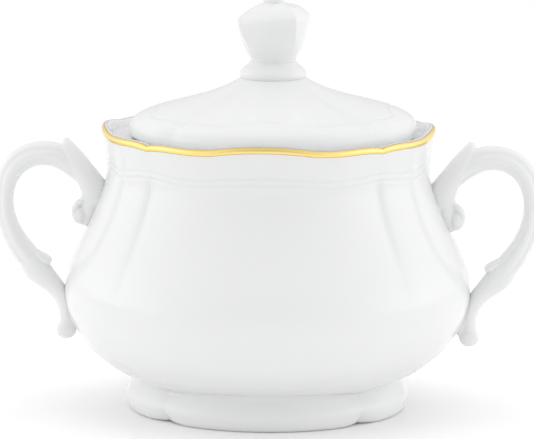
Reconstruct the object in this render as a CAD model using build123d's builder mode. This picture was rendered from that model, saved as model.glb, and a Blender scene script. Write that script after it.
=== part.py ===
from build123d import *

import os
from math import cos, radians, sin

# Porcelain sugar bowl with a loose lid, in millimetres. +Z is up, the origin is on the table under
# the middle of the foot, and the handles point along -X and +X. Wall, foot, lid and knob all have
# four bulging panels that meet in creases on the diagonals.

# ---- driving dimensions ----
PANELS = 4
PANEL_ANGLE = 360 / PANELS
CORNER = PANEL_ANGLE / 2

RIM_HEIGHT = 73.8
FOOT_HEIGHT = 9.4

# The shelf that the lid rests on, and the lobed seat above it, cut up past the rim.
LEDGE_TOP = 70.5
LEDGE_RADIUS = 33.8
SEAT_TOP = RIM_HEIGHT + 3
SEAT_RADIUS = 39.7
SEAT_TOP_RADIUS = 40.7
SEAT_CREASE = 0.015
SEAT_TOP_CREASE = 0.02

GILT_THICKNESS = 0.15
GILT_DEPTH = 2.0

# The foot is hollow underneath, and narrows upwards inside as it does outside.
FOOT_WALL = 3.6
FOOT_HOLLOW_TAPER = 1.0
FOOT_HOLLOW_CREASE = 0.02
FOOT_ARCH = 1.4

LID_RADIUS = 37.0
LID_CREASE = 0.03
LID_SHIFT = 1.1
LID_TURN = 2.5
LID_GAP = 0.1
LID_CROWN = 85.4
LID_EDGE_SWELL = (0.6, 2.4)
LID_EDGE_TUCK = 2.0
FLANGE_OUTER = 32.2
FLANGE_INNER = 30.0
FLANGE_DEPTH = 6.0

COLLAR_RADIUS = 8.5
COLLAR_BOTTOM = 83.6
COLLAR_TOP = 89.6
COLLAR_SWELL = 3.0
COLLAR_HOLLOW = (1.3, 1.0)
KNOB_NECK = 5.8
KNOB_RADIUS = 9.1
KNOB_TOP = 108.3

# Cutters that follow a wave reach from inside every wall to outside it.
WAVE_REACH = (20.0, 60.0)

HANDLE_HALF_WIDTH = 3.9
BALL_RADIUS = 2.5

# Stations of the outer wall: height, radius at the middle of a panel, depth of the corner crease as
# a share of that radius. The crease is deepest at the neck and at the foot and runs out at the belly.
WALL_STATIONS = [
    (FOOT_HEIGHT - 1.4, 34.0, 0.06),
    (FOOT_HEIGHT + 2.0, 39.0, 0.045),
    (16.5, 45.7, 0.02),
    (22.5, 50.6, 0.008),
    (30.0, 52.4, 0.004),
    (38.0, 50.8, 0.006),
    (46.0, 47.2, 0.012),
    (54.0, 43.6, 0.02),
    (60.5, 41.7, 0.026),
    (67.0, 42.1, 0.024),
    (71.5, 42.7, 0.022),
    (SEAT_TOP, 43.3, 0.02),
]

# Stations of the hollow, from its floor up to the underside of the lid's shelf.
HOLLOW_STATIONS = [
    (12.4, 32.0, 0.02),
    (14.6, 39.0, 0.015),
    (18.5, 44.2, 0.01),
    (24.0, 48.5, 0.006),
    (30.0, 49.8, 0.004),
    (38.0, 48.2, 0.004),
    (46.0, 44.6, 0.006),
    (54.0, 41.0, 0.008),
    (61.0, 38.4, 0.01),
    (66.5, LEDGE_RADIUS, 0.0),
]

FOOT_STATIONS = [
    (0.0, 35.4, 0.045),
    (3.0, 36.6, 0.04),
    (6.2, 36.0, 0.045),
    (FOOT_HEIGHT, 34.9, 0.06),
]

# The rim's wave over half a panel: degrees from the panel's middle, fall below the rim's height.
RIM_WAVE = [(0, 0.0), (12, 0.35), (23, 1.1), (33, 1.15), (39, 1.2), (CORNER, 1.7)]

# The foot's edge over half a panel: degrees from the panel's middle, rise above the table.
FOOT_WAVE = [(0, 0.0), (29, 0.0), (35, 0.12), (40, 0.6), (CORNER, FOOT_ARCH)]

# The lid's outer face, from the collar out to its edge: radius, height.
LID_PROFILE = [(8.0, 85.1), (12.5, 83.9), (16.9, 82.3), (23.5, 80.2), (29.9, 78.4), (33.2, 77.3)]
LID_EDGE_HEIGHT = 74.6
LID_UNDERSIDE = [(33.6, 70.6), (32.7, 74.2), (29.0, 75.9), (16.0, 79.7), (0, 82.6)]

# Stations of the knob: height, radius at the middle of a face, depth of the corner crease.
KNOB_STATIONS = [
    (COLLAR_TOP, KNOB_NECK, 0.0),
    (91.6, 6.0, 0.0),
    (94.6, 7.4, 0.02),
    (98.0, 8.7, 0.03),
    (101.3, KNOB_RADIUS, 0.04),
    (103.8, 7.9, 0.03),
    (105.6, 4.4, 0.01),
]
TIP_RADIUS = 2.7

# Centreline of the left handle as seen from the front: distance from the axis, height, half the
# thickness of the bar there. It leaves the shoulder, arches over and comes down to the belly.
HANDLE_LINE = [
    (44.4, 56.0, 3.4),
    (47.6, 60.4, 2.9),
    (50.6, 63.6, 2.8),
    (54.4, 65.9, 3.2),
    (58.6, 66.3, 3.1),
    (63.6, 64.9, 2.9),
    (67.2, 61.0, 2.5),
    (68.3, 55.5, 1.9),
    (68.1, 50.0, 2.0),
    (66.4, 45.4, 2.6),
    (63.4, 41.0, 2.9),
    (60.2, 37.2, 3.4),
    (57.2, 33.0, 3.1),
    (54.3, 29.0, 2.6),
    (52.6, 25.4, 1.9),
    (52.0, 22.0, 1.9),
]
SPUR_OUTLINE = [(57.8, 67.6), (55.0, 69.3), (52.4, 70.1), (50.9, 68.2), (50.0, 64.5)]
SPUR_HALF_WIDTH = 2.2
ROOT_OUTLINE = [(40.0, 58.0), (46.8, 60.0), (48.7, 55.4), (47.6, 52.0), (46.6, 47.2), (40.0, 46.4)]
ROOT_HALF_WIDTH = 3.2
SCROLL_EYE = (47.9, 50.6)
SCROLL_RADIUS = 3.1
SCROLL_HALF_WIDTH = 3.0
BALL_CENTRE = (52.8, 20.2)


def polar(radius, angle):
    """Point on a circle about the vertical axis."""
    return (radius * cos(radians(angle)), radius * sin(radians(angle)))


def lobed_outline(height, radius, crease, base=Plane.XY):
    """Level outline of bulging panels that meet in a crease at each corner."""
    corner_radius = radius * (1 - crease)
    with BuildSketch(base.offset(height)) as outline:
        with BuildLine():
            for panel in range(PANELS):
                middle = PANEL_ANGLE * panel
                ThreePointArc(
                    polar(corner_radius, middle - CORNER),
                    polar(radius, middle),
                    polar(corner_radius, middle + CORNER),
                )
        make_face()
    return outline.sketch


def wavy_slab(wave, base, sign, thickness):
    """Slab whose lower face follows the wave in every panel, from inside the wall to outside it."""
    half = [(angle, base + sign * step) for angle, step in wave]
    heights = [(-angle, height) for angle, height in reversed(half[1:])] + half
    edges = [
        Edge.make_spline([(*polar(reach, angle), height) for angle, height in heights])
        for reach in WAVE_REACH
    ]
    face = Face.make_surface_from_curves(*edges)
    with BuildPart() as slab:
        extrude(face, amount=thickness, dir=(0, 0, 1))
        add([slab.part.rotate(Axis.Z, PANEL_ANGLE * turn) for turn in range(1, PANELS)])
    return slab.part


os.makedirs("parts", exist_ok=True)
above_rim = wavy_slab(RIM_WAVE, RIM_HEIGHT, -1, SEAT_TOP)
below_foot = wavy_slab(FOOT_WAVE, 0, 1, -FOOT_ARCH)

# ---- bowl body: panelled wall, floor and the round inner shelf for the lid ----
with BuildPart() as wall_form:
    for height, radius, crease in WALL_STATIONS:
        add(lobed_outline(height, radius, crease))
    loft()

with BuildPart() as hollow:
    for height, radius, crease in HOLLOW_STATIONS:
        add(lobed_outline(height, radius, crease))
    loft()

with BuildPart() as bowl_body:
    add(wall_form.part)
    # The underside is flat inside the foot.
    with BuildSketch(Plane.XY):
        Circle(WAVE_REACH[1])
    extrude(amount=FOOT_HEIGHT, mode=Mode.SUBTRACT)
    add(hollow.part, mode=Mode.SUBTRACT)
    # Throat through the shelf, and the wider seat above it.
    with BuildSketch(Plane.XY.offset(HOLLOW_STATIONS[-1][0])):
        Circle(LEDGE_RADIUS)
    extrude(amount=SEAT_TOP - HOLLOW_STATIONS[-1][0], mode=Mode.SUBTRACT)
    add(lobed_outline(LEDGE_TOP, SEAT_RADIUS, SEAT_CREASE))
    add(lobed_outline(SEAT_TOP, SEAT_TOP_RADIUS, SEAT_TOP_CREASE))
    loft(mode=Mode.SUBTRACT)
    add(above_rim, mode=Mode.SUBTRACT)
bowl_body.part.label = "bowl_body"
export_step(bowl_body.part, "parts/bowl_body.step")

# ---- foot: spreading lobed ring with a pointed arch under each corner ----
with BuildPart() as foot_ring:
    for height, radius, crease in FOOT_STATIONS:
        add(lobed_outline(height, radius, crease))
    loft()
    foot_hollow = FOOT_STATIONS[0][1] - FOOT_WALL
    add(lobed_outline(0, foot_hollow, FOOT_HOLLOW_CREASE))
    add(lobed_outline(FOOT_HEIGHT, foot_hollow - FOOT_HOLLOW_TAPER, FOOT_HOLLOW_CREASE))
    loft(mode=Mode.SUBTRACT)
    add(below_foot, mode=Mode.SUBTRACT)
foot_ring.part.label = "foot_ring"
export_step(foot_ring.part, "parts/foot_ring.step")

# ---- gold band: a skin on the outside of the rim ----
with BuildPart() as gilt_rim_band:
    for height, radius, crease in WALL_STATIONS:
        add(lobed_outline(height, radius + GILT_THICKNESS, crease))
    loft()
    add(wall_form.part, mode=Mode.SUBTRACT)
    add(above_rim, mode=Mode.SUBTRACT)
    add(above_rim.moved(Location((0, 0, -GILT_DEPTH))), mode=Mode.INTERSECT)
gilt_rim_band.part.label = "gilt_rim_band"
export_step(gilt_rim_band.part, "parts/gilt_rim_band.step")

# ---- handles: scroll bar with a leaf spur on top, a curl under its root and a ball at its foot ----
for side, label in ((-1, "handle_left"), (1, "handle_right")):
    with BuildPart() as handle:
        for number, (reach, height, half) in enumerate(HANDLE_LINE):
            before = HANDLE_LINE[max(number - 1, 0)]
            after = HANDLE_LINE[min(number + 1, len(HANDLE_LINE) - 1)]
            along = Vector(side * (after[0] - before[0]), 0, after[1] - before[1])
            with BuildSketch(Plane((side * reach, 0, height), x_dir=(0, 1, 0), z_dir=along)):
                Ellipse(HANDLE_HALF_WIDTH, half)
        loft()
        for outline, half_width in ((SPUR_OUTLINE, SPUR_HALF_WIDTH), (ROOT_OUTLINE, ROOT_HALF_WIDTH)):
            with BuildSketch(Plane.XZ):
                with BuildLine():
                    Polyline([(side * x, z) for x, z in outline], close=True)
                make_face()
            extrude(amount=half_width, both=True)
        with BuildSketch(Plane.XZ):
            with Locations((side * SCROLL_EYE[0], SCROLL_EYE[1])):
                Circle(SCROLL_RADIUS)
        extrude(amount=SCROLL_HALF_WIDTH, both=True)
        with Locations((side * BALL_CENTRE[0], 0, BALL_CENTRE[1])):
            Sphere(BALL_RADIUS)
        add(wall_form.part, mode=Mode.SUBTRACT)
    handle.part.label = label
    export_step(handle.part, f"parts/{label}.step")

# ---- lid: it sits a little off the middle and a little turned, by the play in its seat ----
lid_base = Plane((LID_SHIFT, 0, 0), x_dir=(*polar(1, LID_TURN), 0), z_dir=(0, 0, 1))
lid_axis = Axis((LID_SHIFT, 0, 0), (0, 0, 1))
lid_section = Plane(lid_base.origin, x_dir=lid_base.x_dir, z_dir=-lid_base.y_dir)
lid_bottom = LEDGE_TOP + LID_GAP

with BuildPart() as lid_shell:
    with BuildSketch(lid_section):
        with BuildLine():
            Line((0, LID_CROWN), LID_PROFILE[0])
            Spline(*LID_PROFILE, (LID_RADIUS, LID_EDGE_HEIGHT))
            ThreePointArc(
                (LID_RADIUS, LID_EDGE_HEIGHT),
                (LID_RADIUS - LID_EDGE_SWELL[0], LID_EDGE_HEIGHT - LID_EDGE_SWELL[1]),
                (LID_RADIUS - LID_EDGE_TUCK, lid_bottom),
            )
            Line((LID_RADIUS - LID_EDGE_TUCK, lid_bottom), LID_UNDERSIDE[0])
            Spline(*LID_UNDERSIDE)
            Line(LID_UNDERSIDE[-1], (0, LID_CROWN))
        make_face()
    revolve(axis=lid_axis)
    add(lobed_outline(LEDGE_TOP, LID_RADIUS, LID_CREASE, lid_base))
    extrude(amount=KNOB_TOP - LEDGE_TOP, mode=Mode.INTERSECT)
lid_shell.part.label = "lid_shell"
export_step(lid_shell.part, "parts/lid_shell.step")

with BuildPart() as lid_flange:
    with BuildSketch(lid_base.offset(LEDGE_TOP - FLANGE_DEPTH)):
        Circle(FLANGE_OUTER)
        Circle(FLANGE_INNER, mode=Mode.SUBTRACT)
    extrude(until=Until.NEXT, target=lid_shell.part)
lid_flange.part.label = "lid_flange"
export_step(lid_flange.part, "parts/lid_flange.step")

with BuildPart() as knob_collar:
    with BuildSketch(lid_section):
        with BuildLine():
            Polyline((0, COLLAR_TOP), (0, COLLAR_BOTTOM), (COLLAR_RADIUS, COLLAR_BOTTOM))
            Spline(
                (COLLAR_RADIUS, COLLAR_BOTTOM),
                (COLLAR_RADIUS, COLLAR_BOTTOM + COLLAR_SWELL),
                (KNOB_NECK + COLLAR_HOLLOW[0], COLLAR_TOP - COLLAR_HOLLOW[1]),
                (KNOB_NECK, COLLAR_TOP),
            )
            Line((KNOB_NECK, COLLAR_TOP), (0, COLLAR_TOP))
        make_face()
    revolve(axis=lid_axis)
    add(lid_shell.part, mode=Mode.SUBTRACT)
knob_collar.part.label = "knob_collar"
export_step(knob_collar.part, "parts/knob_collar.step")

with BuildPart() as knob:
    for height, radius, crease in KNOB_STATIONS:
        add(lobed_outline(height, radius, crease, lid_base))
    loft()
    with Locations((LID_SHIFT, 0, KNOB_TOP - TIP_RADIUS)):
        Sphere(TIP_RADIUS)
knob.part.label = "knob"
export_step(knob.part, "parts/knob.step")
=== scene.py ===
"""Porcelain sugar bowl with a loose lid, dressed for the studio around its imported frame.

The wall, foot, gilding, lid and knob are turned blanks that one Geometry Nodes rule folds into
four bulging panels. The scroll handles are strands of clay pressed together and softened by glaze.
"""

import logging
import math
from dataclasses import dataclass, field
from enum import Enum
from typing import Any, Sequence

import bpy
import numpy as np
from mathutils import Matrix, Vector


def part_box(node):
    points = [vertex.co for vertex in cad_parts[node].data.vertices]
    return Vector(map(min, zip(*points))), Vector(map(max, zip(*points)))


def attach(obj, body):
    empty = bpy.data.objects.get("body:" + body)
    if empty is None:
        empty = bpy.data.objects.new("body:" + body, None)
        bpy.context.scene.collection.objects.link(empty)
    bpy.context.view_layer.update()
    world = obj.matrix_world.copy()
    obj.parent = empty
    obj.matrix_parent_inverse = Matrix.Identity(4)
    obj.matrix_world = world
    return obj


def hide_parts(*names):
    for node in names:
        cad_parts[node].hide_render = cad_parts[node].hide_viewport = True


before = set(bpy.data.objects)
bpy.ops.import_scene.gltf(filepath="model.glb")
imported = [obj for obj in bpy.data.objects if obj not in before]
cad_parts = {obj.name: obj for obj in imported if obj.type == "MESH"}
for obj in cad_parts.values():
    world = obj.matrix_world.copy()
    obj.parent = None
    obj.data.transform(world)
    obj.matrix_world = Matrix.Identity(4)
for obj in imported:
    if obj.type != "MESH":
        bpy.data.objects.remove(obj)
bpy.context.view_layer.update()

MM = 0.001
PANELS = 4
BARE_BELOW = 0.12 * MM
RIGHT_DROP = 0.8 * MM
log = logging.getLogger("sugar_bowl")


class Body(Enum):
    """The rigid bodies of the frame."""

    BOWL = "bowl"
    LID = "lid"


class Slot(Enum):
    """The record's material slots."""

    PORCELAIN = "porcelain"
    GILDING = "gilding"


# ---------------------------------------------------------------- node graphs


class Value:
    """An output socket that takes part in Python arithmetic."""

    def __init__(self, graph: "Graph", socket: Any) -> None:
        """Wraps one output socket of a graph."""
        self.graph = graph
        self.socket = socket

    def out(self, name: str) -> "Value":
        """Another output of the same node, by name."""
        return Value(self.graph, self.socket.node.outputs[name])

    def __add__(self, other: Any) -> "Value":
        """Sum."""
        return self.graph.maths("ADD", self, other)

    def __radd__(self, other: Any) -> "Value":
        """Sum with a number on the left."""
        return self.graph.maths("ADD", other, self)

    def __sub__(self, other: Any) -> "Value":
        """Difference."""
        return self.graph.maths("SUBTRACT", self, other)

    def __rsub__(self, other: Any) -> "Value":
        """Difference with a number on the left."""
        return self.graph.maths("SUBTRACT", other, self)

    def __mul__(self, other: Any) -> "Value":
        """Product."""
        return self.graph.maths("MULTIPLY", self, other)

    def __rmul__(self, other: Any) -> "Value":
        """Product with a number on the left."""
        return self.graph.maths("MULTIPLY", other, self)

    def __truediv__(self, other: Any) -> "Value":
        """Quotient."""
        return self.graph.maths("DIVIDE", self, other)

    def __rtruediv__(self, other: Any) -> "Value":
        """Quotient with a number on the left."""
        return self.graph.maths("DIVIDE", other, self)

    def __pow__(self, other: Any) -> "Value":
        """Power."""
        return self.graph.maths("POWER", self, other)

    def __neg__(self) -> "Value":
        """Opposite."""
        return self.graph.maths("MULTIPLY", self, -1.0)


class Graph:
    """Builds the nodes of one shader or geometry tree."""

    def __init__(self, tree: bpy.types.NodeTree) -> None:
        """Takes an empty node tree."""
        self.tree = tree

    def node(self, kind: str, settings: dict[str, Any] | None = None, inputs: Any = ()) -> Value:
        """Makes any node.

        Args:
            kind: Blender's type name of the node.
            settings: Properties set before the sockets; "curve" fills a float curve.
            inputs: Values or links, as a sequence in socket order or a dict by socket name.

        Returns:
            The node's first usable output.
        """
        made = self.tree.nodes.new(kind)
        for name, value in (settings or {}).items():
            self._set(made, name, value)
        named = inputs.items() if isinstance(inputs, dict) else enumerate(inputs)
        for key, value in named:
            self.feed(self._input(made, key), value)
        usable = [socket for socket in made.outputs if socket.enabled]
        return Value(self, usable[0] if usable else None) if made.outputs else Value(self, None)

    def maths(self, operation: str, *inputs: Any) -> Value:
        """A Math node on numbers or links."""
        return self.node("ShaderNodeMath", {"operation": operation}, inputs)

    def blend(self, share: Value, low: Any, high: Any) -> Value:
        """Mixes two colours or colour links by a share."""
        ends = [end if isinstance(end, Value) else (*end, 1.0) for end in (low, high)]
        inputs = {"Factor": share, "A": ends[0], "B": ends[1]}
        return self.node("ShaderNodeMix", {"data_type": "RGBA"}, inputs)

    def noise(self, at: Value, scale: float, detail: float = 2.0, roughness: float = 0.5) -> Value:
        """Cloudy noise from 0 to 1 at a place."""
        inputs = {"Vector": at, "Scale": scale, "Detail": detail, "Roughness": roughness}
        return self.node("ShaderNodeTexNoise", {}, inputs)

    def surface(self, sockets: dict[str, Any]) -> None:
        """Ends a material in a Principled shader with these inputs."""
        shader = self.node("ShaderNodeBsdfPrincipled", {}, sockets)
        self.node("ShaderNodeOutputMaterial", {}, {"Surface": shader})

    def feed(self, socket: Any, value: Any) -> None:
        """Links a value to a socket, or sets the socket to it."""
        if isinstance(value, Value):
            self.tree.links.new(value.socket, socket)
        elif value is not None:
            socket.default_value = value

    @staticmethod
    def _input(made: bpy.types.Node, key: int | str) -> Any:
        """The input socket of a node by place or by name, among those in use."""
        if isinstance(key, int):
            return made.inputs[key]
        return next(socket for socket in made.inputs if socket.name == key and socket.enabled)

    @staticmethod
    def _set(made: bpy.types.Node, name: str, value: Any) -> None:
        """Sets one property or a curve's points."""
        if name == "curve":
            curve = made.mapping.curves[0]
            for place, height in value[1:-1]:
                curve.points.new(place, height)
            curve.points[0].location = value[0]
            curve.points[-1].location = value[-1]
            made.mapping.update()
        else:
            setattr(made, name, value)


# ---------------------------------------------------------------- finishes


def new_material(name: str) -> tuple[bpy.types.Material, Graph, Value]:
    """Starts a material: the material, its empty graph and the place on the object."""
    material = bpy.data.materials.new(name)
    material.use_nodes = True
    material.node_tree.nodes.clear()
    graph = Graph(material.node_tree)
    return material, graph, graph.node("ShaderNodeTexCoord").out("Object")


@dataclass(frozen=True)
class Porcelain:
    """Hard-paste porcelain under a clear glossy glaze, bluish where the glaze pools and darkened by
    painted shade in its creases and grooves.
    """

    name: str = "glazed_porcelain"
    body: tuple[float, float, float] = (0.84, 0.845, 0.845)
    # Colour of the creases and grooves: a faint blue tint of pooled glaze, and painted shade that
    # darkens them.
    pooled_and_shaded: tuple[float, float, float] = (0.77, 0.79, 0.79)
    bare_clay: tuple[float, float, float] = (0.74, 0.725, 0.69)
    shade: float = 0.018
    cloud_scale: float = 38.0
    roughness: float = 0.055
    cloud_roughness: float = 0.03
    bare_roughness: float = 0.6
    ior: float = 1.5
    depth_weight: float = 0.12
    depth_radius: tuple[float, float, float] = (1.0, 0.95, 0.9)
    depth: float = 0.8 * MM
    ripple: float = 0.012 * MM
    ripple_size: float = 11 * MM
    grain: float = 0.05 * MM
    grain_scale: float = 2600.0
    bare_below: float = -1.0
    bare_fade: float = 0.25 * MM

    def make(self) -> bpy.types.Material:
        """Builds the material.

        Returns:
            The glazed porcelain, bare and matt below the height `bare_below`.
        """
        material, graph, place = new_material(self.name)
        cloud = graph.noise(place, self.cloud_scale, detail=3.0)
        pool_and_shade = graph.node("ShaderNodeAttribute", {"attribute_name": "pooling"}).out("Fac")
        height = graph.node("ShaderNodeSeparateXYZ", {}, [place]).out("Z")
        bare = graph.node(
            "ShaderNodeMapRange",
            {"interpolation_type": "SMOOTHSTEP"},
            {"Value": height, "From Min": self.bare_below,
             "From Max": self.bare_below + self.bare_fade, "To Min": 1.0, "To Max": 0.0},
        )
        dark = tuple(channel * (1 - self.shade) for channel in self.body)
        base = graph.blend(cloud, dark, self.body)
        # Painted shade: creases and moulding grooves take the darker colour, with a slight blue
        # tint of pooled glaze.
        base = graph.blend(pool_and_shade, base, self.pooled_and_shaded)
        base = graph.blend(bare, base, self.bare_clay)
        ripple = graph.noise(place, 1 / self.ripple_size, roughness=0.4)
        grain = graph.noise(place, self.grain_scale)
        smooth = graph.node("ShaderNodeBump", {}, {"Height": ripple, "Distance": self.ripple})
        normal = graph.node(
            "ShaderNodeBump", {}, {"Height": grain * bare, "Distance": self.grain, "Normal": smooth}
        )
        rough = self.roughness + self.cloud_roughness * cloud + self.bare_roughness * bare
        graph.surface({
            "Base Color": base, "Roughness": rough, "IOR": self.ior, "Normal": normal,
            "Subsurface Weight": self.depth_weight, "Subsurface Radius": self.depth_radius,
            "Subsurface Scale": self.depth,
        })
        return material


@dataclass(frozen=True)
class FiredGold:
    """Burnished gold, brushed on along the rim and fired, with painted shade darkening its edges.
    """

    name: str = "fired_gold"
    bright: tuple[float, float, float] = (1.0, 0.80, 0.34)
    deep: tuple[float, float, float] = (0.94, 0.68, 0.21)
    # Dark brown of the painted shade along the band's edges.
    edge: tuple[float, float, float] = (0.50, 0.31, 0.08)
    edge_shade_share: float = 0.75
    roughness: float = 0.16
    stroke_roughness: float = 0.10
    stroke: float = 0.012 * MM
    stroke_scale: float = 170.0
    stroke_stretch: tuple[float, float, float] = (1.0, 1.0, 9.0)
    patch_scale: float = 60.0

    def make(self) -> bpy.types.Material:
        """Builds the material.

        Returns:
            Gold whose colour and polish vary along the brush strokes.
        """
        material, graph, place = new_material(self.name)
        along = graph.node("ShaderNodeMapping", {}, {"Vector": place, "Scale": self.stroke_stretch})
        stroke = graph.noise(along, self.stroke_scale, detail=4.0)
        colour = graph.blend(graph.noise(place, self.patch_scale), self.deep, self.bright)
        gold_edge_shade = graph.node("ShaderNodeAttribute", {"attribute_name": "pooling"}).out("Fac")
        # Painted shade: the gold turns dark brown along the band's edges and in the corner creases.
        colour = graph.blend(self.edge_shade_share * gold_edge_shade, colour, self.edge)
        normal = graph.node("ShaderNodeBump", {}, {"Height": stroke, "Distance": self.stroke})
        rough = self.roughness + self.stroke_roughness * stroke
        graph.surface(
            {"Base Color": colour, "Metallic": 1.0, "Roughness": rough, "Normal": normal}
        )
        return material


@dataclass(frozen=True)
class StudioPaper:
    """White seamless paper with a faint even glow and a painted ring of light round the foot."""

    name: str = "white_paper"
    colour: tuple[float, float, float] = (0.97, 0.97, 0.97)
    glow: float = 0.035
    # Strength, distance and width of the painted ring of light round the foot.
    painted_light_ring: float = 0.055
    painted_light_reach: float = 0.092
    painted_light_width: float = 0.034
    roughness: float = 0.42
    mottle: float = 0.06
    mottle_scale: float = 30.0
    ior: float = 1.35

    def make(self) -> bpy.types.Material:
        """Builds the material.

        Returns:
            Matt white paper with a faint mottle.
        """
        material, graph, place = new_material(self.name)
        mottle = graph.noise(place, self.mottle_scale)
        # A painted ring of light: the paper glows brighter round the foot, which keeps the shadow
        # close to it.
        reach = graph.node("ShaderNodeVectorMath", {"operation": "LENGTH"}, [place]).out("Value")
        ring = graph.maths("EXPONENT", -(((reach - self.painted_light_reach) / self.painted_light_width) ** 2.0))
        level = self.glow + self.painted_light_ring * ring
        glow = graph.node("ShaderNodeCombineXYZ", {}, [level, level, level])
        graph.surface({
            "Base Color": (*self.colour, 1.0), "Roughness": self.roughness + self.mottle * mottle,
            "IOR": self.ior, "Emission Color": glow, "Emission Strength": 1.0,
        })
        return material


# ---------------------------------------------------------------- turned blanks


def fair_curve(points: Sequence[tuple[float, float]], spacing: float = 0.05) -> np.ndarray:
    """Points along a natural cubic spline.

    Args:
        points: The points that the curve passes through, in millimetres.
        spacing: Distance between the points returned.

    Returns:
        An array of points, evenly spaced along the curve.
    """
    knots = np.array(points, float)
    step = np.sqrt(np.linalg.norm(np.diff(knots, axis=0), axis=1))
    times = np.concatenate([[0.0], np.cumsum(step)])
    count = len(knots)
    matrix, right = np.eye(count), np.zeros_like(knots)
    for i in range(1, count - 1):
        matrix[i, i - 1 : i + 2] = step[i - 1], 2 * (step[i - 1] + step[i]), step[i]
        slope = (knots[i + 1] - knots[i]) / step[i] - (knots[i] - knots[i - 1]) / step[i - 1]
        right[i] = 6 * slope
    bend = np.linalg.solve(matrix, right)
    at = np.linspace(0, times[-1], 400 * count)
    span = np.clip(np.searchsorted(times, at, "right") - 1, 0, count - 2)
    width = step[span][:, None]
    left, ahead = (at - times[span])[:, None], (times[span + 1] - at)[:, None]
    dense = (
        bend[span] * ahead**3 / (6 * width)
        + bend[span + 1] * left**3 / (6 * width)
        + (knots[span] / width - bend[span] * width / 6) * ahead
        + (knots[span + 1] / width - bend[span + 1] * width / 6) * left
    )
    length = np.concatenate([[0.0], np.cumsum(np.linalg.norm(np.diff(dense, axis=0), axis=1))])
    even = np.linspace(0, length[-1], max(2, round(length[-1] / spacing) + 1))
    return np.stack([np.interp(even, length, dense[:, axis]) for axis in range(dense.shape[1])], 1)


def thin_rows(
    dense: np.ndarray, close: tuple[float, float], fine: float, coarse: float
) -> np.ndarray:
    """Keeps rows closer together in one band of heights.

    Args:
        dense: Closely spaced profile points, radius and height.
        close: Lowest and highest height of the band.
        fine: Spacing inside the band.
        coarse: Spacing outside it.

    Returns:
        The kept points, first and last among them.
    """
    kept, travelled = [dense[0]], 0.0
    for before, point in zip(dense, dense[1:]):
        travelled += float(np.linalg.norm(point - before))
        if travelled >= (fine if close[0] <= point[1] <= close[1] else coarse):
            kept.append(point)
            travelled = 0.0
    if travelled > 0.0:
        kept.append(dense[-1])
    return np.array(kept)


def ease(low: float, high: float, at: Any) -> Any:
    """Rises smoothly from 0 at low to 1 at high; low may be the larger."""
    share = np.clip((np.asarray(at, float) - low) / (high - low), 0.0, 1.0)
    return share * share * (3 - 2 * share)


ALL_HEIGHTS = (0, 200)
NO_HEIGHTS = (0, 0)
SHARES = ("bulge", "notch", "fall", "sag", "arch", "furrow", "moulded", "lane", "square", "twist",
          "tone", "tilt")


@dataclass
class Blank:
    """A turned blank. Each row is a radius and a height in millimetres, with the rule's shares."""

    name: str
    rows: np.ndarray
    shares: dict[str, Any] = field(default_factory=dict)
    columns: int = 56

    def mesh(self) -> bpy.types.Mesh:
        """Turns the profile about the axis, with columns drawn together at the corners.

        Returns:
            A mesh whose points carry the shares as attributes. It is closed if the profile runs
            from axis to axis or back to its start.
        """
        share = np.sin(np.linspace(-math.pi / 2, math.pi / 2, self.columns + 1)[:-1])
        half = math.pi / PANELS
        angles = np.concatenate([half * share + 2 * half * panel for panel in range(PANELS)])
        count = len(angles)
        on_axis = self.rows[:, 0] < 1e-6
        points, owner, starts = [], [], []
        for number, (radius, height) in enumerate(self.rows):
            starts.append(len(points))
            ring = [0.0] if on_axis[number] else angles
            points += [(radius * math.cos(a), radius * math.sin(a), height) for a in ring]
            owner += [number] * len(ring)
        closed = not on_axis[0] and not on_axis[-1]
        pairs = list(zip(range(len(self.rows)), range(1, len(self.rows))))
        if closed:
            pairs.append((len(self.rows) - 1, 0))
        faces = []
        for low, high in pairs:
            for column in range(count):
                ahead = (column + 1) % count
                if on_axis[low]:
                    faces.append((starts[low], starts[high] + ahead, starts[high] + column))
                elif on_axis[high]:
                    faces.append((starts[low] + column, starts[low] + ahead, starts[high]))
                else:
                    faces.append((starts[low] + column, starts[low] + ahead,
                                  starts[high] + ahead, starts[high] + column))
        mesh = bpy.data.meshes.new(self.name)
        mesh.from_pydata([tuple(MM * c for c in point) for point in points], [], faces)
        for label in SHARES:
            values = np.broadcast_to(np.asarray(self.shares.get(label, 0.0), float), len(self.rows))
            layer = mesh.attributes.new(label, "FLOAT", "POINT")
            layer.data.foreach_set("value", values[owner].astype(np.float32))
        if signed_volume(mesh) < 0:
            mesh.flip_normals()
        return mesh


def signed_volume(mesh: bpy.types.Mesh) -> float:
    """Volume inside a closed mesh, negative if its faces point inwards."""
    mesh.calc_loop_triangles()
    places = np.zeros(len(mesh.vertices) * 3)
    mesh.vertices.foreach_get("co", places)
    corners = np.zeros(len(mesh.loop_triangles) * 3, np.int32)
    mesh.loop_triangles.foreach_get("vertices", corners)
    a, b, c = places.reshape(-1, 3)[corners.reshape(-1, 3)].transpose(1, 0, 2)
    return float(np.einsum("ij,ij->i", a, np.cross(b, c)).sum() / 6)


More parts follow.
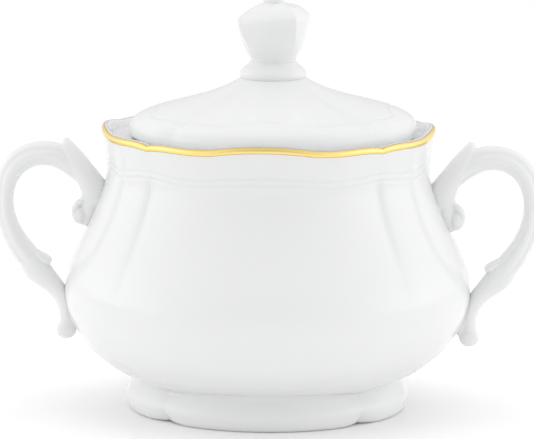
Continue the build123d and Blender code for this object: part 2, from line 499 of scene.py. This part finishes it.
class PanelRule:
    """Geometry Nodes rule that folds a turned blank into bulging panels.

    Round each panel, from its middle to its corner, every point is drawn in, let down, lifted at
    the foot's arches, furrowed at the corner and marked with the moulding, each by the share that
    its row carries. A blank may also be squared, twisted, leant, turned and shifted.
    """

    INPUTS = {
        "Panels": float(PANELS),
        "Arch Start": 0.72,
        "Furrow Reach": 0.05,
        "Moulding Place": 0.0,
        "Moulding Fall": 0.0,
        "Moulding Depth": 0.0,
        "Moulding Gap": 0.0,
        "Moulding Width": 0.4 * MM,
        "Ripple": 0.0,
        "Turn": 0.0,
        "Shift": 0.0,
        "Lean": 0.0,
    }
    # Courses of the rim and of the moulding over half a panel, from its middle to its corner.
    BRACKET = [(0.0, 0.0), (0.10, 0.03), (0.27, 0.30), (0.47, 0.72), (0.62, 0.75), (0.82, 0.66),
               (0.92, 0.76), (1.0, 1.0)]
    RIPPLE = [(0.0, 0.0), (0.15, 0.05), (0.35, 0.45), (0.58, 1.0), (0.72, 0.92), (0.86, 0.5),
              (1.0, 0.3)]
    ARCH_SWEEP = 1.7
    FACE_MIDDLE = 1.12
    # Groove depth at which the painted shade and pooled-glaze tint are full.
    FULL_POOL_SHADE = 0.6 * MM

    def __init__(self) -> None:
        """Builds the tree with its named inputs."""
        self.tree = bpy.data.node_groups.new("panel_rule", "GeometryNodeTree")
        face = self.tree.interface
        face.new_socket("Geometry", in_out="INPUT", socket_type="NodeSocketGeometry")
        for label, value in self.INPUTS.items():
            socket = face.new_socket(label, in_out="INPUT", socket_type="NodeSocketFloat")
            socket.default_value = value
        face.new_socket("Material", in_out="INPUT", socket_type="NodeSocketMaterial")
        face.new_socket("Geometry", in_out="OUTPUT", socket_type="NodeSocketGeometry")
        self._build(Graph(self.tree))

    def _build(self, graph: Graph) -> None:
        """Adds the nodes."""
        given = graph.node("NodeGroupInput")
        share = {
            label: graph.node("GeometryNodeInputNamedAttribute", {"data_type": "FLOAT"}, [label])
            for label in SHARES
        }
        place = graph.node("GeometryNodeInputPosition")
        x, y, z = (graph.node("ShaderNodeSeparateXYZ", {}, [place]).out(axis) for axis in "XYZ")
        angle = graph.maths("ARCTAN2", y, x)
        step = 2 * math.pi / given.out("Panels")
        folded = graph.maths("ABSOLUTE", angle - graph.maths("ROUND", angle / step) * step)
        across = graph.maths("MINIMUM", 2 * folded / step, 1.0)
        bulge = (1 - graph.maths("COSINE", folded)) / (1 - graph.maths("COSINE", step / 2))
        start = given.out("Arch Start")
        arch = graph.maths("MAXIMUM", (across - start) / (1 - start), 0.0) ** self.ARCH_SWEEP
        bracket = graph.node("ShaderNodeFloatCurve", {"curve": self.BRACKET}, {"Value": across})
        furrow = graph.maths("EXPONENT", -(((across - 1) / given.out("Furrow Reach")) ** 2.0))
        flat_face = 1 / graph.maths("COSINE", folded) - self.FACE_MIDDLE
        scale = 1 - share["bulge"] * bulge - share["notch"] * arch + share["square"] * flat_face
        lean = given.out("Lean") * (share["square"] + share["tilt"]) * x
        lowered = share["fall"] * bracket + share["sag"] * bulge - share["arch"] * arch
        height = z - lowered * MM + lean
        formed = graph.node("ShaderNodeCombineXYZ", {}, [x * scale, y * scale, height])
        ripple = graph.node("ShaderNodeFloatCurve", {"curve": self.RIPPLE}, {"Value": across})
        line = bracket + (ripple - bracket) * given.out("Ripple")
        # The moulding is measured along the row's own lane: height on the wall, radius on the lid.
        lane = share["lane"] * MM - share["fall"] * MM * bracket
        off = lane - (given.out("Moulding Place") - given.out("Moulding Fall") * line)
        width = given.out("Moulding Width")
        apart = given.out("Moulding Gap") / 2
        lines = sum(
            graph.maths("EXPONENT", -(((off + sign * apart) / width) ** 2.0)) for sign in (-1, 1)
        )
        sunk = share["moulded"] * given.out("Moulding Depth") * lines
        sunk = sunk + share["furrow"] * MM * furrow
        normal = graph.node("GeometryNodeInputNormal")
        inwards = graph.node(
            "ShaderNodeVectorMath", {"operation": "SCALE"}, {"Vector": normal, "Scale": -sunk}
        )
        offset = graph.node("ShaderNodeVectorMath", {"operation": "ADD"}, [formed, inwards])
        shaped = graph.node(
            "GeometryNodeSetPosition", {}, {"Geometry": given.out("Geometry"), "Position": offset}
        )
        twisted = graph.node(
            "ShaderNodeVectorRotate",
            {"rotation_type": "Z_AXIS"},
            {"Vector": graph.node("GeometryNodeInputPosition"),
             "Angle": share["twist"] + given.out("Turn")},
        )
        aside = graph.node("ShaderNodeCombineXYZ", {}, [given.out("Shift"), 0.0, 0.0])
        seated = graph.node("ShaderNodeVectorMath", {"operation": "ADD"}, [twisted, aside])
        turned = graph.node("GeometryNodeSetPosition", {}, {"Geometry": shaped, "Position": seated})
        # Stores the mask of painted shade with pooled-glaze tint: grooves and furrows by their
        # depth, plus painted edge shade on the gold.
        pooled_and_shaded = graph.node(
            "GeometryNodeStoreNamedAttribute",
            {"data_type": "FLOAT", "domain": "POINT"},
            {"Geometry": turned, "Name": "pooling",
             "Value": graph.maths("MINIMUM", sunk / self.FULL_POOL_SHADE + share["tone"], 1.0)},
        )
        smooth = graph.node("GeometryNodeSetShadeSmooth", {}, {"Geometry": pooled_and_shaded})
        real = graph.node("GeometryNodeRealizeInstances", {}, {"Geometry": smooth})
        dressed = graph.node(
            "GeometryNodeSetMaterial", {}, {"Geometry": real, "Material": given.out("Material")}
        )
        graph.node("NodeGroupOutput", {}, [dressed])

    def grow(self, blank: Blank, material: bpy.types.Material, **sizes: float) -> bpy.types.Object:
        """Runs the rule on a blank.

        Args:
            blank: The turned blank.
            material: Its finish.
            sizes: Values for the tree's inputs, with underscores for spaces.

        Returns:
            An object at the origin with a plain mesh.
        """
        piece = bpy.data.objects.new(blank.name, blank.mesh())
        bpy.context.scene.collection.objects.link(piece)
        modifier = piece.modifiers.new("panels", "NODES")
        modifier.node_group = self.tree
        names = {item.name: item.identifier for item in self.tree.interface.items_tree
                 if item.in_out == "INPUT"}
        modifier[names["Material"]] = material
        for label, value in sizes.items():
            modifier[names[label.replace("_", " ").title()]] = float(value)
        freeze(piece)
        for label in SHARES:
            piece.data.attributes.remove(piece.data.attributes[label])
        return piece


def freeze(piece: bpy.types.Object) -> None:
    """Turns a piece's evaluated shape into its plain mesh and removes its modifiers."""
    bpy.context.view_layer.update()
    evaluated = piece.evaluated_get(bpy.context.evaluated_depsgraph_get())
    mesh = bpy.data.meshes.new_from_object(evaluated)
    piece.modifiers.clear()
    piece.data = mesh
    mesh.name = piece.name


def place(piece: bpy.types.Object, body: Body, slot: Slot, *nodes: str) -> None:
    """Puts a finished piece in the frame.

    Args:
        piece: The finished piece.
        body: The body that it rides on.
        slot: The record's slot for its finish; not used.
        nodes: The CAD nodes that it stands for.
    """
    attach(piece, body.value)
    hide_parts(*nodes)
    log.info("%s: %d faces on %s", piece.name, len(piece.data.polygons), body.value)


# ---------------------------------------------------------------- bowl


@dataclass
class Bowl:
    """The panelled wall with its rolled lip, lid shelf and hollow, its foot and its gilding."""

    rule: PanelRule
    glaze: bpy.types.Material
    foot_glaze: bpy.types.Material
    gold: bpy.types.Material
    belly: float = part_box("bowl_body")[1].x / MM
    rim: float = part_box("bowl_body")[1].z / MM
    floor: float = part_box("bowl_body")[0].z / MM
    ledge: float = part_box("lid_shell")[0].z / MM - 0.1
    rim_fall: float = 1.7
    crease_fall: float = 1.2
    moulding_height: float = 64.7
    moulding_fall: float = 1.2
    moulding_depth: float = 0.16
    moulding_gap: float = 1.6
    moulding_width: float = 0.36
    neck_furrow: float = 0.42
    foot_bulge: tuple[float, ...] = (0.012, 0.02, 0.04)
    foot_notch: float = 0.03
    foot_arch: float = 0.55
    foot_furrow: float = 0.05
    gold_depth: float = 1.75
    gold_start: float = 0.1
    gold_skin: float = 0.06
    gold_back: float = 0.12

    def outer_wall(self) -> np.ndarray:
        """Outside of the wall, from the crease over the foot up to the turn of the lip."""
        r, top = self.belly, self.rim
        return fair_curve(
            [
                (r - 16.4, 9.5), (r - 14.3, 10.4), (r - 11.3, 12.1), (r - 8.5, 14.2),
                (r - 6.2, 16.2), (r - 4.5, 18.3), (r - 3.1, 20.6), (r - 1.4, 24.1),
                (r - 0.3, 27.8), (r - 0.03, 30.6), (r - 0.35, 33.8), (r - 1.25, 37.2),
                (r - 2.9, 41.2), (r - 4.95, 45.4), (r - 7.1, 50.0), (r - 9.0, 54.6),
                (r - 10.3, 58.6), (r - 10.75, 62.0), (r - 10.55, 65.5), (r - 10.1, top - 4.9),
                (r - 9.85, top - 3.0), (r - 9.7, top - 2.1), (r - 9.5, top - 1.35),
                (r - 9.6, top - 0.65), (r - 10.25, top - 0.12), (r - 11.0, top),
            ]
        )

    def inner_wall(self) -> np.ndarray:
        """Inside of the lip, the seat, the lid's shelf and the hollow to the floor's middle."""
        top, shelf = self.rim, self.ledge
        seat = fair_curve(
            [(41.6, top), (41.0, top - 0.3), (40.4, top - 1.3), (40.1, shelf + 1.0),
             (39.7, shelf + 0.3), (38.9, shelf)]
        )
        turn = fair_curve(
            [(34.6, shelf), (34.0, shelf - 0.25), (33.8, shelf - 0.9), (33.9, shelf - 2.2),
             (35.3, shelf - 5.2), (38.0, 61.0), (41.0, 54.0), (44.6, 46.0), (48.0, 38.0),
             (49.7, 30.4), (48.6, 24.2), (44.6, 18.4), (38.8, 14.8), (30.0, 12.8),
             (16.0, 12.1), (0.0, 12.0)]
        )
        turn[-1, 0] = 0.0
        return np.concatenate([seat, turn])

    def shares(self, rows: np.ndarray, outside: np.ndarray) -> dict[str, np.ndarray]:
        """The rule's shares on rows of the wall.

        Args:
            rows: Radius and height of each row.
            outside: 1 on rows of the outer face and 0 on the others.

        Returns:
            Share name to one value for each row.
        """
        height = rows[:, 1]
        near_rim = ease(self.rim - 9, self.rim - 2.5, height)
        outer = np.interp(
            height, [9, 11.4, 16.5, 22.5, 30, 38, 46, 54, 60.5, 67, 74],
            [0.05, 0.04, 0.02, 0.008, 0.003, 0.005, 0.010, 0.017, 0.022, 0.021, 0.018],
        )
        inner = np.interp(height, [12, 30, 60, self.ledge - 1, self.ledge + 1.2, 74],
                          [0.02, 0.003, 0.008, 0.0, 0.012, 0.018])
        neck = ease(26, 58, height)
        foot = ease(18, 10.5, height)
        fall_in = self.rim_fall * ease(self.ledge + 0.8, self.rim - 1.0, height)
        return {
            "bulge": np.where(outside > 0, outer, inner),
            "fall": np.where(outside > 0, self.rim_fall * near_rim, fall_in),
            "sag": outside * self.crease_fall * foot,
            "furrow": outside * self.neck_furrow * neck * (1 - 0.85 * ease(60.5, 65, height)),
            "moulded": outside * ease(54, 57, height) * ease(71, 69, height),
            "lane": height,
        }

    def wall(self) -> bpy.types.Object:
        """The wall, shelf, hollow and floor as one closed porcelain body.

        Returns:
            The finished piece.
        """
        margin = 2.2
        close = (self.moulding_height - self.moulding_fall - margin, self.moulding_height + margin)
        outer = thin_rows(self.outer_wall(), close, 0.13, 0.75)
        lip = thin_rows(self.inner_wall()[:140], ALL_HEIGHTS, 0.3, 0.3)
        hollow = thin_rows(self.inner_wall()[140:], NO_HEIGHTS, 1.0, 1.0)
        under = np.array([(0.0, self.floor), (15.0, self.floor), (32.5, self.floor + 0.1),
                          (34.4, self.floor + 0.45)])
        rows = np.concatenate([under, outer, lip, hollow])
        outside = np.zeros(len(rows))
        outside[len(under) : len(under) + len(outer)] = 1
        blank = Blank("bowl_wall", rows, self.shares(rows, outside))
        piece = self.rule.grow(
            blank, self.glaze, ripple=1.0,
            moulding_place=self.moulding_height * MM, moulding_fall=self.moulding_fall * MM,
            moulding_depth=self.moulding_depth * MM, moulding_gap=self.moulding_gap * MM,
            moulding_width=self.moulding_width * MM,
        )
        place(piece, Body.BOWL, Slot.PORCELAIN, "bowl_body")
        return piece

    def gilding(self) -> bpy.types.Object:
        """The fired gold on the outside of the lip, a skin that follows its roll.

        Returns:
            The finished piece.
        """
        wall = self.outer_wall()
        below = self.rim - wall[:, 1]
        painted = (below < self.gold_depth) & (below > self.gold_start)
        band = thin_rows(wall[painted], ALL_HEIGHTS, 0.1, 0.1)
        along = np.gradient(band, axis=0)
        out = np.stack([along[:, 1], -along[:, 0]], 1) / np.linalg.norm(along, axis=1)[:, None]
        edge = np.sin(np.linspace(0, math.pi, len(band)))[:, None] ** 0.25
        skin = band + out * self.gold_skin * edge
        backed = band[::-1] - out[::-1] * self.gold_back
        rows = np.concatenate([skin, backed])
        across = np.linspace(0, 1, len(band))
        shares = self.shares(rows, np.ones(len(rows)))
        # Painted shade: the band is darkened along its lower and upper edges.
        shares["tone"] = np.tile(ease(0.16, 0.0, across) + ease(0.72, 0.95, across), 2)
        blank = Blank("rim_gilding", rows, shares)
        piece = self.rule.grow(blank, self.gold)
        place(piece, Body.BOWL, Slot.GILDING, "gilt_rim_band")
        return piece

    def foot(self) -> bpy.types.Object:
        """The spreading foot with a pointed arch under each corner.

        Returns:
            The finished piece.
        """
        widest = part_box("foot_ring")[1].x / MM
        outer = fair_curve(
            [(widest - 2.6, 12.0), (widest - 1.4, 11.2), (widest - 1.15, 10.2),
             (widest - 1.4, 8.9), (widest - 1.35, 7.6), (widest - 0.85, 6.2),
             (widest - 0.28, 4.9), (widest - 0.03, 3.6), (widest - 0.15, 2.1),
             (widest - 0.6, 0.9), (widest - 1.3, 0.2), (widest - 1.9, 0.0)]
        )
        inner = fair_curve(
            [(33.2, 0.0), (32.5, 0.3), (31.9, 1.4), (31.4, 5.0), (31.2, 9.3), (31.2, 10.6)]
        )
        rows = thin_rows(np.concatenate([outer, inner]), (-1, 3), 0.25, 0.5)
        height = rows[:, 1]
        shares = {
            "bulge": np.interp(height, [0, 4, 10], self.foot_bulge),
            "notch": self.foot_notch * ease(4.5, 0.5, height),
            "arch": self.foot_arch * ease(4.0, 0.5, height),
            "sag": self.crease_fall * ease(6.0, 10.0, height),
            "furrow": (rows[:, 0] > 34.0) * self.foot_furrow,
        }
        piece = self.rule.grow(Blank("foot", rows, shares), self.foot_glaze)
        place(piece, Body.BOWL, Slot.PORCELAIN, "foot_ring")
        return piece


# ---------------------------------------------------------------- handles


@dataclass
class Strand:
    """A strand of clay: stations of distance from the axis, height, half depth and half width."""

    stations: list[tuple[float, float, float, float]]
    grooved: float = 0.0
    facets: int = 40
    step: float = 0.35
    boxy: float = 0.8
    groove_places: tuple[float, ...] = (0.45, -0.55)
    groove_width: float = 0.16
    taper: float = 0.10

    def points(self, side: int) -> tuple[list[tuple[float, float, float]], list[tuple[int, ...]]]:
        """Sweeps the strand's section along its line.

        Args:
            side: -1 for the left handle and 1 for the right.

        Returns:
            Points in metres, and faces, of one closed skin.
        """
        line = fair_curve(self.stations, self.step)
        along = np.gradient(line[:, :2], axis=0)
        along /= np.linalg.norm(along, axis=1)[:, None]
        outwards = np.stack([-along[:, 1], along[:, 0]], 1)
        places, faces = [], []
        turn = np.linspace(0, 2 * math.pi, self.facets, endpoint=False)
        deep = np.cos(turn)
        wide = np.sign(np.sin(turn)) * np.abs(np.sin(turn)) ** self.boxy
        grooves = sum(
            np.exp(-(((deep - at) / self.groove_width) ** 2)) for at in self.groove_places
        )
        wide = wide * (1 - self.grooved * grooves) * (1 - self.taper - self.taper * deep)
        for (reach, height, depth, width), out in zip(line, outwards):
            for d, w in zip(deep, wide):
                x, z = np.array([reach, height]) + out * d * depth
                places.append((side * x * MM, w * width * MM, z * MM))
        count = self.facets
        for row in range(len(line) - 1):
            for column in range(count):
                ahead = (column + 1) % count
                faces.append((row * count + column, row * count + ahead,
                              (row + 1) * count + ahead, (row + 1) * count + column))
        faces.append(tuple(range(count)))
        faces.append(tuple(reversed(range(len(places) - count, len(places)))))
        return places, faces


@dataclass
class ScrollHandle:
    """A handle pressed from strands: arch, leaf, root, curl, lower limb, web, lip and ball."""

    side: int
    glaze: bpy.types.Material
    drop: float = 0.0
    drop_band: tuple[float, float] = (60 * MM, 40 * MM)
    voxel: float = 0.24 * MM
    softening: float = 0.5
    passes: int = 5
    strands: list[Strand] = field(default_factory=lambda: [
        # The arch, from inside the leaf over the top and down to its rolled end.
        Strand([(46.8, 59.0, 2.3, 2.9), (50.4, 62.4, 2.8, 3.3), (54.4, 64.9, 3.1, 3.6),
                (58.4, 65.5, 3.1, 3.7), (62.9, 64.2, 3.05, 3.6), (66.4, 60.7, 2.8, 3.5),
                (67.8, 56.0, 2.3, 3.4), (67.85, 51.0, 2.2, 3.4), (66.8, 46.3, 2.5, 3.5),
                (64.5, 41.8, 2.8, 3.6), (62.2, 38.6, 3.0, 3.5), (60.6, 36.7, 2.3, 2.7)], 0.15),
        # The leaf that springs from the wall and ends in a free tip above the arch.
        Strand([(42.4, 52.0, 2.6, 3.2), (44.4, 55.6, 3.5, 3.6), (46.7, 59.5, 3.0, 3.8),
                (49.1, 63.0, 2.7, 3.7), (51.0, 65.9, 2.2, 3.1), (51.9, 68.0, 1.5, 2.2),
                (52.3, 69.5, 0.6, 0.9)]),
        # The root down the wall.
        Strand([(44.2, 57.5, 3.0, 3.3), (45.4, 53.6, 3.0, 3.2), (46.2, 50.6, 2.6, 2.9),
                (46.8, 48.2, 1.8, 2.4), (47.1, 46.8, 1.0, 1.8)]),
        # The curl: a rounded lobe, and the rolled edge that folds over its top.
        Strand([(48.6, 52.2, 0.5, 1.0), (48.7, 51.5, 1.4, 2.5), (48.75, 49.9, 2.0, 3.1),
                (48.4, 48.4, 1.7, 2.8), (48.0, 47.3, 0.7, 1.4)]),
        Strand([(47.3, 53.6, 0.5, 2.3), (48.4, 53.0, 0.7, 2.8), (49.6, 52.0, 0.7, 2.9),
                (50.25, 50.8, 0.55, 2.7), (50.4, 49.8, 0.35, 2.2)]),
        # The lower limb, out of the arch's rolled end and down the belly.
        Strand([(61.8, 38.3, 2.8, 3.1), (60.3, 35.9, 3.3, 3.3), (58.5, 34.0, 3.15, 3.2),
                (56.2, 31.8, 2.55, 3.1), (53.8, 28.9, 2.15, 2.9), (52.65, 26.1, 1.8, 2.6),
                (52.25, 24.0, 1.7, 2.3), (52.2, 21.8, 1.75, 2.1), (52.2, 19.6, 1.9, 1.9)]),
        # The web of clay that holds the limb's end to the belly.
        Strand([(51.2, 29.0, 0.9, 1.6), (51.0, 27.0, 1.6, 2.0), (50.6, 24.0, 1.8, 2.1),
                (50.2, 21.8, 1.8, 1.9), (50.0, 20.3, 1.2, 1.4), (49.9, 19.5, 0.4, 0.6)]),
        # The pointed inner lip where the arch ends.
        Strand([(60.2, 39.9, 0.5, 2.6), (58.6, 38.6, 0.9, 3.3), (57.1, 37.6, 1.0, 3.3),
                (56.2, 37.0, 0.7, 2.9)]),
        # The ball at the foot of the handle.
        Strand([(52.2, 21.9, 0.3, 0.3), (52.2, 21.6, 1.3, 1.3), (52.2, 20.7, 2.2, 2.2),
                (52.2, 19.4, 2.65, 2.6), (52.2, 18.1, 2.2, 2.2), (52.2, 17.2, 1.2, 1.2),
                (52.2, 17.0, 0.3, 0.3)]),
    ])

    def build(self) -> bpy.types.Object:
        """Presses the strands together and softens the joins as glaze does.

        Returns:
            The finished piece.
        """
        name = {-1: "scroll_handle_left", 1: "scroll_handle_right"}[self.side]
        node = {-1: "handle_left", 1: "handle_right"}[self.side]
        places, faces = [], []
        for strand in self.strands:
            more, skins = strand.points(self.side)
            start = len(places)
            places += [(x, y, z - self.drop * ease(*self.drop_band, z)) for x, y, z in more]
            ordered = skins if self.side > 0 else [tuple(reversed(skin)) for skin in skins]
            faces += [tuple(start + corner for corner in skin) for skin in ordered]
        mesh = bpy.data.meshes.new(name)
        mesh.from_pydata(places, [], faces)
        if signed_volume(mesh) < 0:
            mesh.flip_normals()
        piece = bpy.data.objects.new(name, mesh)
        bpy.context.scene.collection.objects.link(piece)
        pressed = piece.modifiers.new("pressed", "REMESH")
        pressed.mode = "VOXEL"
        pressed.voxel_size = self.voxel
        softened = piece.modifiers.new("softened", "SMOOTH")
        softened.factor = self.softening
        softened.iterations = self.passes
        freeze(piece)
        if signed_volume(piece.data) < 0:
            piece.data.flip_normals()
        piece.data.shade_smooth()
        piece.data.materials.clear()
        piece.data.materials.append(self.glaze)
        place(piece, Body.BOWL, Slot.PORCELAIN, node)
        return piece


# ---------------------------------------------------------------- lid


@dataclass
class Lid:
    """The panelled cover with its locating ring, collar and bud knob."""

    rule: PanelRule
    glaze: bpy.types.Material
    shift: float = (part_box("lid_flange")[0].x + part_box("lid_flange")[1].x) / 2
    turn: float = math.radians(2.5)
    low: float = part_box("lid_shell")[0].z / MM
    top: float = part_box("knob")[1].z / MM
    edge: float = 37.0
    bulge: float = 0.03
    furrow: float = 0.2
    furrow_reach: float = 0.09
    line_radius: float = 29.8
    line_fall: float = 4.0
    line_depth: float = 0.09
    line_width: float = 0.6
    lean: float = 0.009
    knob_square: float = 0.36
    knob_twist: float = math.radians(-12.5)
    knob_fall: float = -0.2
    knob_lean: float = 0.2

    def seat(self) -> dict[str, float]:
        """How the lid lies in its seat, for the rule."""
        return {"turn": self.turn, "shift": self.shift}

    def cover(self) -> bpy.types.Object:
        """The shallow dome with its bracket line and corner creases.

        Returns:
            The finished piece.
        """
        r, z = self.edge, self.low
        outer = fair_curve(
            [(0.0, 86.6), (4.0, 86.5), (7.6, 86.1), (9.6, 85.1), (12.5, 83.6), (16.9, 81.9),
             (23.5, 80.0), (29.9, 78.3), (33.2, 77.15), (35.5, 75.9), (r - 0.4, 74.6),
             (r - 0.03, 73.2), (r - 0.1, 71.8), (r - 0.7, z + 0.2), (r - 1.8, z)]
        )
        under = fair_curve(
            [(33.6, z), (33.0, z + 0.6), (32.7, z + 3.4), (29.0, 75.8), (16.0, 79.6),
             (4.0, 82.4), (0.0, 82.6)]
        )
        outer[0, 0] = under[-1, 0] = 0.0
        top_rows = thin_rows(outer, (76.4, 80.4), 0.14, 0.7)
        rows = np.concatenate([top_rows, thin_rows(under, NO_HEIGHTS, 0.9, 0.9)])
        on_top = np.zeros(len(rows))
        on_top[: len(top_rows)] = 1
        radius = rows[:, 0]
        spread = np.where(on_top > 0, 1, ease(31, 35, radius))
        spread = spread * (1 - 0.5 * ease(34.0, 36.5, radius))
        shares = {
            "bulge": self.bulge * ease(10, 34, radius) * spread,
            "furrow": on_top * self.furrow * ease(9, 15, radius),
            "moulded": on_top * ease(22, 26, radius) * (rows[:, 1] > z + 4),
            "lane": -radius,
            "tilt": on_top * ease(z + 1.0, z + 5.0, rows[:, 1]),
        }
        piece = self.rule.grow(
            Blank("lid_cover", rows, shares), self.glaze, **self.seat(), lean=self.lean,
            furrow_reach=self.furrow_reach, moulding_gap=0.0,
            moulding_place=-self.line_radius * MM, moulding_fall=self.line_fall * MM,
            moulding_depth=self.line_depth * MM, moulding_width=self.line_width * MM,
        )
        place(piece, Body.LID, Slot.PORCELAIN, "lid_shell")
        return piece

    def locating_ring(self) -> bpy.types.Object:
        """The ring under the cover that drops through the shelf.

        Returns:
            The finished piece.
        """
        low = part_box("lid_flange")[0].z / MM
        rows = fair_curve(
            [(32.2, 75.2), (32.2, 72.0), (32.1, low + 1.0), (31.7, low + 0.2), (31.0, low),
             (30.3, low + 0.2), (30.0, low + 1.0), (30.0, 72.0), (30.0, 75.6)]
        )
        blank = Blank("lid_locating_ring", thin_rows(rows, (0, low + 1), 0.2, 0.9))
        piece = self.rule.grow(blank, self.glaze, **self.seat())
        place(piece, Body.LID, Slot.PORCELAIN, "lid_flange")
        return piece

    def collar(self) -> bpy.types.Object:
        """The rounded collar under the knob.

        Returns:
            The finished piece.
        """
        rows = fair_curve(
            [(0.0, 84.9), (7.4, 85.0), (8.3, 85.7), (8.6, 86.6), (8.35, 87.6), (7.5, 88.5),
             (6.6, 89.2), (6.05, 89.8), (5.7, 90.2), (0.0, 90.3)]
        )
        rows[0, 0] = rows[-1, 0] = 0.0
        blank = Blank("knob_collar_bead", thin_rows(rows, (84.2, 90.2), 0.2, 0.8))
        piece = self.rule.grow(blank, self.glaze, **self.seat())
        place(piece, Body.LID, Slot.PORCELAIN, "knob_collar")
        return piece

    def knob(self) -> bpy.types.Object:
        """The four-sided bud with its button tip.

        Returns:
            The finished piece.
        """
        t = self.top
        bud = fair_curve(
            [(5.75, 89.7), (5.85, 90.6), (6.4, 91.8), (7.25, 93.1), (7.95, 94.5), (8.45, 96.0),
             (9.1, 98.2), (9.55, 99.9), (9.5, 101.0), (8.8, 102.0), (7.5, 103.0),
             (5.9, 103.9), (4.3, 104.5), (3.0, 105.0)]
        )
        tip = fair_curve(
            [(2.75, t - 3.0), (2.8, t - 1.7), (2.5, t - 0.8), (1.6, t - 0.2), (0.7, t - 0.02),
             (0.0, t)]
        )
        tip[-1, 0] = 0.0
        base = np.array([(0.0, 89.7)])
        bud = thin_rows(bud, ALL_HEIGHTS, 0.22, 0.22)
        tip = thin_rows(tip, ALL_HEIGHTS, 0.15, 0.15)
        rows = np.concatenate([base, bud, tip])
        height = rows[:, 1]
        body = ease(90.5, 99.5, height) * ease(105.6, 103.5, height)
        shares = {
            "square": self.knob_square * body,
            "twist": self.knob_twist * ease(90, 101, height),
            "fall": self.knob_fall * body,
        }
        blank = Blank("bud_knob", rows, shares)
        piece = self.rule.grow(blank, self.glaze, **self.seat(), lean=self.knob_lean)
        place(piece, Body.LID, Slot.PORCELAIN, "knob")
        return piece


# ---------------------------------------------------------------- studio


@dataclass
class Studio:
    """White paper, soft light from the sides and above, a darker room behind the camera."""

    azimuth: float = 2.0
    pitch: float = 9.114
    lens: float = 304.27
    sensor: float = 36.0
    clip: tuple[float, float] = (0.05, 20.0)
    distance: float = 1.150
    eye_height: float = 0.2333
    aside: float = -0.28 * MM
    roll: float = 0.34
    room: float = 0.632
    from_sides: float = 0.72
    side_windows: float = 0.55
    from_rear: float = 0.10
    from_above: float = 0.12
    paper_reach: float = 5.0
    lamp_place: tuple[float, float, float] = (0.0, 0.15, 1.3)
    lamp_size: float = 1.4
    lamp_power: float = 3.6
    lamp_aim: tuple[float, float, float] = (0.0, 0.0, 0.05)

    def floor(self) -> None:
        """Lays the paper under the bowl."""
        mesh = bpy.data.meshes.new("paper")
        size = self.paper_reach
        corners = [(-size, -size, 0), (size, -size, 0), (size, size, 0), (-size, size, 0)]
        mesh.from_pydata(corners, [], [(0, 1, 2, 3)])
        mesh.materials.append(StudioPaper().make())
        paper = bpy.data.objects.new("paper", mesh)
        bpy.context.scene.collection.objects.link(paper)

    def light(self) -> None:
        """Sets the surrounding light and hangs one soft box above, unseen in the glaze."""
        world = bpy.data.worlds.new("studio")
        bpy.context.scene.world = world
        world.use_nodes = True
        world.node_tree.nodes.clear()
        graph = Graph(world.node_tree)
        aim = graph.node("ShaderNodeTexCoord").out("Generated")
        x, y, z = (graph.node("ShaderNodeSeparateXYZ", {}, [aim]).out(axis) for axis in "XYZ")
        sides = graph.maths("ABSOLUTE", x) ** 2.0
        rear = graph.maths("MAXIMUM", y, 0.0)
        above = graph.maths("MAXIMUM", z, 0.0)
        level = self.room + self.from_sides * sides + self.side_windows * sides ** 4.0
        level = level + self.from_rear * rear + self.from_above * above
        white = (1.0, 1.0, 1.0, 1.0)
        glow = graph.node("ShaderNodeBackground", {}, {"Color": white, "Strength": level})
        graph.node("ShaderNodeOutputWorld", {}, {"Surface": glow})
        lamp = bpy.data.lights.new("top_box", "AREA")
        lamp.shape = "RECTANGLE"
        lamp.size = lamp.size_y = self.lamp_size
        lamp.energy = self.lamp_power
        box = bpy.data.objects.new("top_box", lamp)
        box.location = self.lamp_place
        downwards = Vector(self.lamp_aim) - Vector(self.lamp_place)
        box.rotation_euler = downwards.to_track_quat("-Z", "Y").to_euler()
        box.visible_glossy = False
        bpy.context.scene.collection.objects.link(box)

    def camera(self) -> None:
        """Sets the camera: a long lens from a little above the lid."""
        data = bpy.data.cameras.new("camera")
        data.lens = self.lens
        data.sensor_width = self.sensor
        data.clip_start, data.clip_end = self.clip
        camera = bpy.data.objects.new("camera", data)
        turn, down = math.radians(self.azimuth), math.radians(self.pitch)
        across = Vector((math.cos(turn), math.sin(turn), 0.0))
        stand = Vector((math.sin(turn), -math.cos(turn), 0.0)) * self.distance
        camera.location = stand + across * self.aside + Vector((0.0, 0.0, self.eye_height))
        upright = Matrix.Rotation(turn, 3, "Z") @ Matrix.Rotation(math.pi / 2 - down, 3, "X")
        rolled = upright @ Matrix.Rotation(math.radians(self.roll), 3, "Z")
        camera.rotation_euler = rolled.to_euler()
        bpy.context.scene.collection.objects.link(camera)
        bpy.context.scene.camera = camera
        bpy.context.scene.view_settings.view_transform = "Standard"


# ---------------------------------------------------------------- assembly


def main() -> None:
    """Builds the pieces in order, then the studio."""
    logging.basicConfig(level=logging.INFO, format="%(name)s %(message)s")
    glaze = Porcelain().make()
    foot_glaze = Porcelain(name="glazed_porcelain_foot", bare_below=BARE_BELOW).make()
    gold = FiredGold().make()
    rule = PanelRule()
    bowl = Bowl(rule, glaze, foot_glaze, gold)
    bowl.wall()
    bowl.foot()
    bowl.gilding()
    ScrollHandle(-1, glaze).build()
    ScrollHandle(1, glaze, drop=RIGHT_DROP).build()
    lid = Lid(rule, glaze)
    lid.cover()
    lid.locating_ring()
    lid.collar()
    lid.knob()
    studio = Studio()
    studio.floor()
    studio.light()
    studio.camera()


if __name__ == "__main__":
    main()
